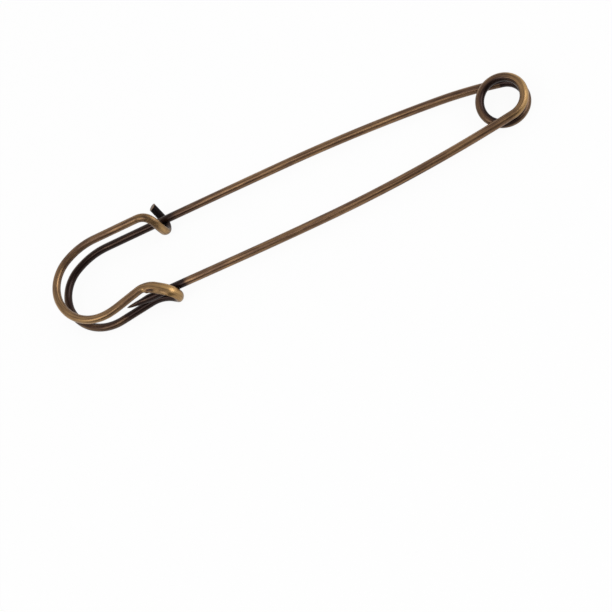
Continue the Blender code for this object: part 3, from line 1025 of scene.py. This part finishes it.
@dataclass
class WireStretch:
    """One named stretch of the wire, which stands for the CAD node of its name."""

    name: str
    body: Body
    wear: tuple[WearAndPaintedLight, ...]
    finish: BronzeFinish = BronzeFinish()

    def wear_and_light_at(self, share: float) -> WearAndPaintedLight:
        """Blend the stretch's table of wear and painted light.

        Args:
            share: Share of the stretch from its first point.

        Returns:
            How the wire has aged there.
        """
        before = self.wear[0]
        for after in self.wear[1:]:
            if share <= after.share:
                part = smooth((share - before.share) / (after.share - before.share))
                pairs = zip(astuple(before), astuple(after))
                return WearAndPaintedLight(*(low + (high - low) * part for low, high in pairs))
            before = after
        return before

    def build(self, skin: WireSkin, pose: Matrix, group: bpy.types.NodeTree) -> bpy.types.Object:
        """Make the stretch's mesh, dress it and put it in the CAD node's place.

        Args:
            skin: Sections of the whole wire.
            pose: From the pin's plane to the table.
            group: The shared aged bronze group.

        Returns:
            The new object.
        """
        first, last = skin.route.spans[self.name]
        mesh = bpy.data.meshes.new(self.name + "_wire")
        shape = bmesh.new()
        loops, notes = [], []
        for index in range(first, last + 1):
            share = (index - first) / (last - first)
            wear = self.wear_and_light_at(share)
            loop = []
            rows = (skin.rings, skin.places, skin.hollow_shade_and_patina, skin.inside, skin.marked)
            for corner, place, hollow_shade_and_patina, inside, marked in zip(*(row[index] for row in rows)):
                low = pose @ corner
                # The wire is a little flat where it lies on the table.
                low.z = max(low.z, 0.0)
                loop.append(shape.verts.new(low))
                # Worn is rubbed metal, and on the coil's right side a painted highlight too.
                worn = wear.worn + wear.outer * smooth(-inside) + marked[0]
                # Beside other parts of the wire the colour takes patina and painted shade.
                dark = wear.dark + wear.inner * smooth(inside) + hollow_shade_and_patina + marked[1]
                notes.append((place, worn * (1.0 - hollow_shade_and_patina), dark))
            loops.append(loop)
        for before, after in zip(loops, loops[1:]):
            band(shape, before, after)
        self.close(shape, loops, notes)
        bmesh.ops.recalc_face_normals(shape, faces=shape.faces)
        for face in shape.faces:
            face.smooth = True
        shape.to_mesh(mesh)
        shape.free()
        self.note(mesh, notes)
        item = put(self.name + "_wire", mesh)
        item.data.materials.append(bronze_material(self.name, self.finish, group))
        return item

    def close(self, shape: bmesh.types.BMesh, loops: list, notes: list) -> None:
        """Close both ends with a fan about the middle of the section.

        Args:
            shape: The mesh that is being made.
            loops: The vertices of each section.
            notes: What is noted for each vertex.
        """
        for loop, note in ((loops[0], notes[0]), (loops[-1], notes[-1])):
            self.fan(shape, loop, notes, note)
            sharpen(shape, loop)

    @staticmethod
    def fan(shape: bmesh.types.BMesh, loop: list, notes: list, note: tuple) -> None:
        """Fill a loop with a fan.

        Args:
            shape: The mesh that is being made.
            loop: The vertices round the fan.
            notes: What is noted for each vertex.
            note: What is noted for the fan's middle.
        """
        middle = shape.verts.new(sum((vert.co for vert in loop), Vector()) / len(loop))
        notes.append(note)
        for before, after in pairs_round(loop):
            shape.faces.new((before, after, middle))

    @staticmethod
    def note(mesh: bpy.types.Mesh, notes: list) -> None:
        """Write what is noted for each vertex to the mesh.

        Args:
            mesh: The finished mesh.
            notes: Place on the wire, wear and darkness of each vertex.
        """
        place = mesh.attributes.new("wire_place", "FLOAT_VECTOR", "POINT")
        place.data.foreach_set("vector", [value for row in notes for value in row[0]])
        for column, name in ((1, "worn"), (2, "dark")):
            values = mesh.attributes.new(name, "FLOAT", "POINT")
            values.data.foreach_set("value", [row[column] for row in notes])

    def hang(self, item: bpy.types.Object, pose: Matrix) -> None:
        """Let the stretch move with its body; the pose is not used."""
        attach(item, self.body.value)

    def place(self, item: bpy.types.Object, pose: Matrix) -> None:
        """Hang the stretch and let it stand for its CAD node.

        Args:
            item: The stretch's object.
            pose: From the pin's plane to the table.
        """
        self.hang(item, pose)
        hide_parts(self.name)


@dataclass
class SpringCoil(WireStretch):
    """The coil, which is baked in place and hangs from neither body."""

    reach: float = 3.3 * MM

    def hang(self, item: bpy.types.Object, pose: Matrix) -> None:
        """Bake the coil's place into its mesh, and hang it from neither body.

        Args:
            item: The coil's object.
            pose: Not used.
        """
        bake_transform(item)


@dataclass
class CutTail(WireStretch):
    """The cut end of the wire, sheared a little askew, with bare metal round its rim.

    Each rim is a smaller loop of the face: its size, how far it stands out, its wear and darkness.
    """

    lean: tuple[float, float, float] = (0.16, 0.22, -0.58)
    rims: tuple[tuple[float, float, float, float], ...] = (
        (0.92, 0.05 * MM, 0.5, 0.2), (0.78, 0.05 * MM, 0.1, 0.65), (0.5, 0.03 * MM, 0.0, 0.7))

    def close(self, shape: bmesh.types.BMesh, loops: list, notes: list) -> None:
        """Close the joint with a fan and the free end with a sheared face of its own.

        Args:
            shape: The mesh that is being made.
            loops: The vertices of each section.
            notes: What is noted for each vertex.
        """
        last = loops[-1]
        centre = sum((vert.co for vert in last), Vector()) / len(last)
        out = (centre - sum((vert.co for vert in loops[-2]), Vector()) / len(last)).normalized()
        for vert in last:
            vert.co += out * (vert.co - centre).dot(Vector(self.lean))
        sharpen(shape, last)
        for share, rise, worn, dark in self.rims:
            loop = [shape.verts.new(centre + (vert.co - centre) * share + out * rise)
                    for vert in last]
            notes += [(note[0], worn, dark) for note in notes[-len(last):]]
            band(shape, last, loop)
            last = loop
        self.fan(shape, last, notes, notes[-1])
        self.fan(shape, loops[0], notes, notes[0])


@dataclass
class KiltPin:
    """The whole pin: one wire in nine stretches."""

    sizes: WireSizes = WireSizes()

    def stretches(self) -> list[WireStretch]:
        """List the stretches with their bodies, and their wear and painted light along the wire.

        Returns:
            The nine stretches, from the needle's point to the cut tail.
        """
        return [
            # Under the catch the point and the needle's first stretch are near black: patina and
            # painted shade.
            WireStretch("needle_point", Body.NEEDLE, (
                WearAndPaintedLight(0.0, 0.1, 0.9), WearAndPaintedLight(0.5, 0.0, 1.0), WearAndPaintedLight(1.0, 0.0, 1.1))),
            WireStretch("needle_arm", Body.NEEDLE, (
                WearAndPaintedLight(0.0, 0.0, 1.3), WearAndPaintedLight(0.05, 0.0, 1.3), WearAndPaintedLight(0.08, 0.0, 1.2),
                WearAndPaintedLight(0.1, 0.1, 0.15), WearAndPaintedLight(0.3, 0.22, 0.0), WearAndPaintedLight(0.5, 0.15, 0.0),
                WearAndPaintedLight(1.0, 0.14, 0.05))),
            # On the front turn's right side the wire is rubbed bright and carries a painted
            # highlight, lighter outside and darker inside; round the top and the back turn it is
            # darker.
            SpringCoil("spring_coil", Body.FRAME, (
                WearAndPaintedLight(0.0, 0.25, 0.05), WearAndPaintedLight(0.1, 0.4, 0.0, 0.9, 0.5),
                WearAndPaintedLight(0.17, 0.5, 0.0, 1.1, 0.7), WearAndPaintedLight(0.24, 0.3, 0.1, 0.7, 0.8),
                WearAndPaintedLight(0.33, 0.05, 0.4, 0.3, 1.0), WearAndPaintedLight(0.55, 0.0, 0.5, 0.4, 1.2),
                WearAndPaintedLight(0.68, 0.0, 0.4, 0.4, 1.1), WearAndPaintedLight(0.8, 0.2, 0.05, 0.3, 1.1),
                WearAndPaintedLight(0.9, 0.3, 0.0, 0.3, 1.4), WearAndPaintedLight(1.0, 0.25, 0.0, 0.15, 1.2))),
            # Beside the wrap the arm turns near black: patina and painted shade; past the wrap it
            # is dark with patina.
            WireStretch("fixed_arm", Body.FRAME, (
                WearAndPaintedLight(0.0, 0.25, 0.0, 0.15, 1.2), WearAndPaintedLight(0.06, 0.15, 0.15), WearAndPaintedLight(0.13, 0.1, 0.1),
                WearAndPaintedLight(0.3, 0.22, 0.0), WearAndPaintedLight(0.62, 0.2, 0.05), WearAndPaintedLight(0.72, 0.14, 0.12),
                WearAndPaintedLight(0.795, 0.05, 0.5), WearAndPaintedLight(0.82, 0.1, 1.0), WearAndPaintedLight(1.0, 0.1, 1.0))),
            WireStretch("lower_guard", Body.FRAME, (
                WearAndPaintedLight(0.0, 0.1, 1.0), WearAndPaintedLight(0.22, 0.1, 0.9), WearAndPaintedLight(0.45, 0.1, 0.75),
                WearAndPaintedLight(0.62, 0.1, 0.7), WearAndPaintedLight(0.74, 0.1, 0.85), WearAndPaintedLight(0.84, 0.1, 1.1),
                WearAndPaintedLight(1.0, 0.1, 1.0))),
            WireStretch("catch_fold", Body.FRAME, (
                WearAndPaintedLight(0.0, 0.1, 1.0), WearAndPaintedLight(0.2, 0.4, 0.5, 0.2), WearAndPaintedLight(0.42, 0.75, 0.0, 0.2),
                WearAndPaintedLight(1.0, 0.6, 0.0, 0.2))),
            WireStretch("upper_guard", Body.FRAME, (
                WearAndPaintedLight(0.0, 0.6, 0.0), WearAndPaintedLight(0.07, 0.4, 0.0), WearAndPaintedLight(0.11, 0.3, 0.1),
                WearAndPaintedLight(0.22, 0.2, 0.1, 0.3), WearAndPaintedLight(0.33, 0.4, 0.0, 0.3, 0.1),
                WearAndPaintedLight(0.5, 0.45, 0.0, 0.25, 0.1), WearAndPaintedLight(0.65, 0.3, 0.05), WearAndPaintedLight(0.8, 0.15, 0.25),
                WearAndPaintedLight(0.92, 0.2, 0.1), WearAndPaintedLight(1.0, 0.3, 0.1))),
            # Where the turn passes under the arm into the tail it goes near black: patina and
            # painted shade.
            WireStretch("wrap_turn", Body.FRAME, (
                WearAndPaintedLight(0.0, 0.3, 0.1), WearAndPaintedLight(0.2, 0.3, 0.25), WearAndPaintedLight(0.5, 0.6, 0.05),
                WearAndPaintedLight(0.64, 0.3, 0.35), WearAndPaintedLight(0.78, 0.1, 1.0), WearAndPaintedLight(1.0, 0.0, 1.4))),
            # The tail's near-black finish, with almost no lacquer, is patina and painted shade
            # behind the arm.
            CutTail("wrap_tail", Body.FRAME, (
                WearAndPaintedLight(0.0, 0.0, 1.5), WearAndPaintedLight(1.0, 0.0, 1.5)),
                BronzeFinish(dark=(0.006, 0.003, 0.003), lacquer=0.02)),
        ]

    def build(self) -> None:
        """Build, dress and place every stretch, and say how each compares with its CAD node."""
        route = WireRoute(self.sizes)
        route.build()
        skin = WireSkin(route)
        skin.build()
        pose = rest_pose(self.sizes.needle_level)
        group = aged_bronze_group(drawn_wire_group(), MarkWeights())
        for stretch in self.stretches():
            box = [np.array(corner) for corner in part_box(stretch.name)]
            item = stretch.build(skin, pose, group)
            corners = np.array([tuple(v.co) for v in item.data.vertices])
            off = max(abs(corners.min(0) - box[0]).max(), abs(corners.max(0) - box[1]).max())
            stretch.place(item, pose)
            LOG.info("%s: %d faces, box %.3f mm from the CAD node's", stretch.name,
                     len(item.data.polygons), off / MM)


@dataclass(frozen=True)
class SoftLamp:
    """A soft lamp: its name, where it hangs, its width and height, and its power in watts."""

    name: str
    place: tuple[float, float, float]
    size: tuple[float, float]
    power: float

    def hang(self) -> None:
        """Hang the lamp, facing the pin."""
        light = bpy.data.lights.new(self.name, "AREA")
        light.shape = "RECTANGLE"
        light.size, light.size_y = self.size
        light.energy = self.power
        item = put(self.name, light)
        item.location = self.place
        item.rotation_euler = (-Vector(self.place)).to_track_quat("-Z", "Y").to_euler()


@dataclass
class Studio:
    """Pale floor, soft lights, and a camera at the photograph's angle."""

    needle_level: float
    floor_size: float = 10.0
    floor_colour: float = 0.65
    floor_glow: float = 0.93
    floor_in_metal: float = 0.5
    dome_level: float = 0.62
    side_level: float = 0.75
    back_level: float = 1.5
    horizon_height: float = 0.5
    back: tuple[float, float, float] = (0.1, 0.995, 0.0)
    back_reach: tuple[float, float] = (-0.3, 0.7)
    front: tuple[float, float, float] = (0.17, -0.98, 0.0)
    front_reach: tuple[float, float] = (0.35, 0.8)
    front_shade: float = 0.8
    lamps: tuple[SoftLamp, ...] = (
        SoftLamp("key", (0.82, -0.17, 0.55), (0.8, 0.5), 3.3),
        SoftLamp("front_left", (-0.47, -0.51, 0.72), (0.6, 0.5), 2.1))
    camera_place: tuple[float, float, float] = (0.00902823, -0.10865641, 0.18812307)
    camera_look: tuple[float, float, float] = (-0.26195112, 0.40285833, -0.87697593)
    camera_up: tuple[float, float, float] = (0.37708724, 0.87919461, 0.29124226)
    lens: float = 67.647
    sensor: float = 36.0
    clip: tuple[float, float] = (0.01, 20.0)
    half_pixel: float = 0.5 / 612.0

    def floor(self) -> None:
        """Lay the pale floor: white to the eye, paler to the metal, with the pin's shadow kept."""
        half = self.floor_size / 2.0
        mesh = bpy.data.meshes.new("floor")
        corners = [(-half, -half, 0.0), (half, -half, 0.0), (half, half, 0.0), (-half, half, 0.0)]
        mesh.from_pydata(corners, [], [(0, 1, 2, 3)])
        floor = put("floor", mesh)
        material = bpy.data.materials.new("pale_floor")
        material.use_nodes = True
        tree = material.node_tree
        tree.nodes.clear()
        make = NodeMaker(tree)
        path = make.add("ShaderNodeLightPath").outputs
        seen = make.math("MAXIMUM", path["Is Camera Ray"], path["Is Transmission Ray"])
        seen = make.math("MULTIPLY_ADD", path["Is Glossy Ray"], self.floor_in_metal, seen)
        white = (1.0, 1.0, 1.0, 1.0)
        colour = make.blend(seen, (*(self.floor_colour,) * 3, 1.0), white)
        paint = make.add("ShaderNodeBsdfDiffuse", {"Color": colour})
        glow = make.add("ShaderNodeEmission", {"Color": white, "Strength": 1.0})
        share = make.math("MULTIPLY", seen, self.floor_glow)
        mix = make.add("ShaderNodeMixShader", {0: share, 1: paint.outputs[0], 2: glow.outputs[0]})
        make.add("ShaderNodeOutputMaterial", {"Surface": mix.outputs[0]})
        mesh.materials.append(material)

    def world(self) -> None:
        """Surround the pin with a soft grey room, pale at the horizon and white to the eye."""
        world = bpy.data.worlds.new("studio")
        bpy.context.scene.world = world
        world.use_nodes = True
        tree = world.node_tree
        tree.nodes.clear()
        make = NodeMaker(tree)
        direction = make.add("ShaderNodeTexCoord").outputs["Generated"]
        height = make.add("ShaderNodeSeparateXYZ", {0: direction}).outputs[2]
        front, back = (make.add("ShaderNodeVectorMath", {0: direction, 1: way},
                                operation="DOT_PRODUCT").outputs["Value"]
                       for way in (self.front, self.back))
        side = make.math("MULTIPLY_ADD", make.ease(back, *self.back_reach),
                         self.back_level - self.side_level, self.side_level)
        low = make.math("SUBTRACT", 1.0, make.ease(height, 0.0, self.horizon_height))
        level = make.math("MULTIPLY_ADD", make.math("SUBTRACT", side, self.dome_level), low,
                          self.dome_level)
        shade = make.math("MULTIPLY", make.ease(front, *self.front_reach), self.front_shade)
        level = make.math("MULTIPLY", level, make.math("SUBTRACT", 1.0, shade))
        path = make.add("ShaderNodeLightPath").outputs
        seen = make.math("MAXIMUM", path["Is Camera Ray"], path["Is Transmission Ray"])
        level = make.math("MULTIPLY_ADD", make.math("SUBTRACT", 1.0, level), seen, level)
        back = make.add("ShaderNodeBackground", {"Color": (1.0, 1.0, 1.0, 1.0), "Strength": level})
        make.add("ShaderNodeOutputWorld", {"Surface": back.outputs[0]})

    def camera(self) -> None:
        """Set the camera at the photograph's angle to the pin's plane."""
        pose = rest_pose(self.needle_level)
        look, up = Vector(self.camera_look).normalized(), Vector(self.camera_up)
        right = look.cross(up).normalized()
        up = right.cross(look)
        turn = Matrix((right, up, -look)).transposed().to_4x4()
        data = bpy.data.cameras.new("camera")
        data.lens, data.sensor_width = self.lens, self.sensor
        data.clip_start, data.clip_end = self.clip
        data.shift_x, data.shift_y = -self.half_pixel, self.half_pixel
        item = put("camera", data)
        item.matrix_world = pose @ Matrix.Translation(Vector(self.camera_place)) @ turn
        bpy.context.scene.camera = item

    def build(self) -> None:
        """Set up the whole studio."""
        bpy.context.scene.view_settings.view_transform = "Standard"
        self.floor()
        self.world()
        for lamp in self.lamps:
            lamp.hang()
        self.camera()


def main() -> None:
    """Build the studio and the pin, and note both boxes."""
    logging.basicConfig(level=logging.INFO, format="%(name)s %(message)s")
    pin = KiltPin()
    Studio(pin.sizes.needle_level).build()
    pin.build()


if __name__ == "__main__":
    main()
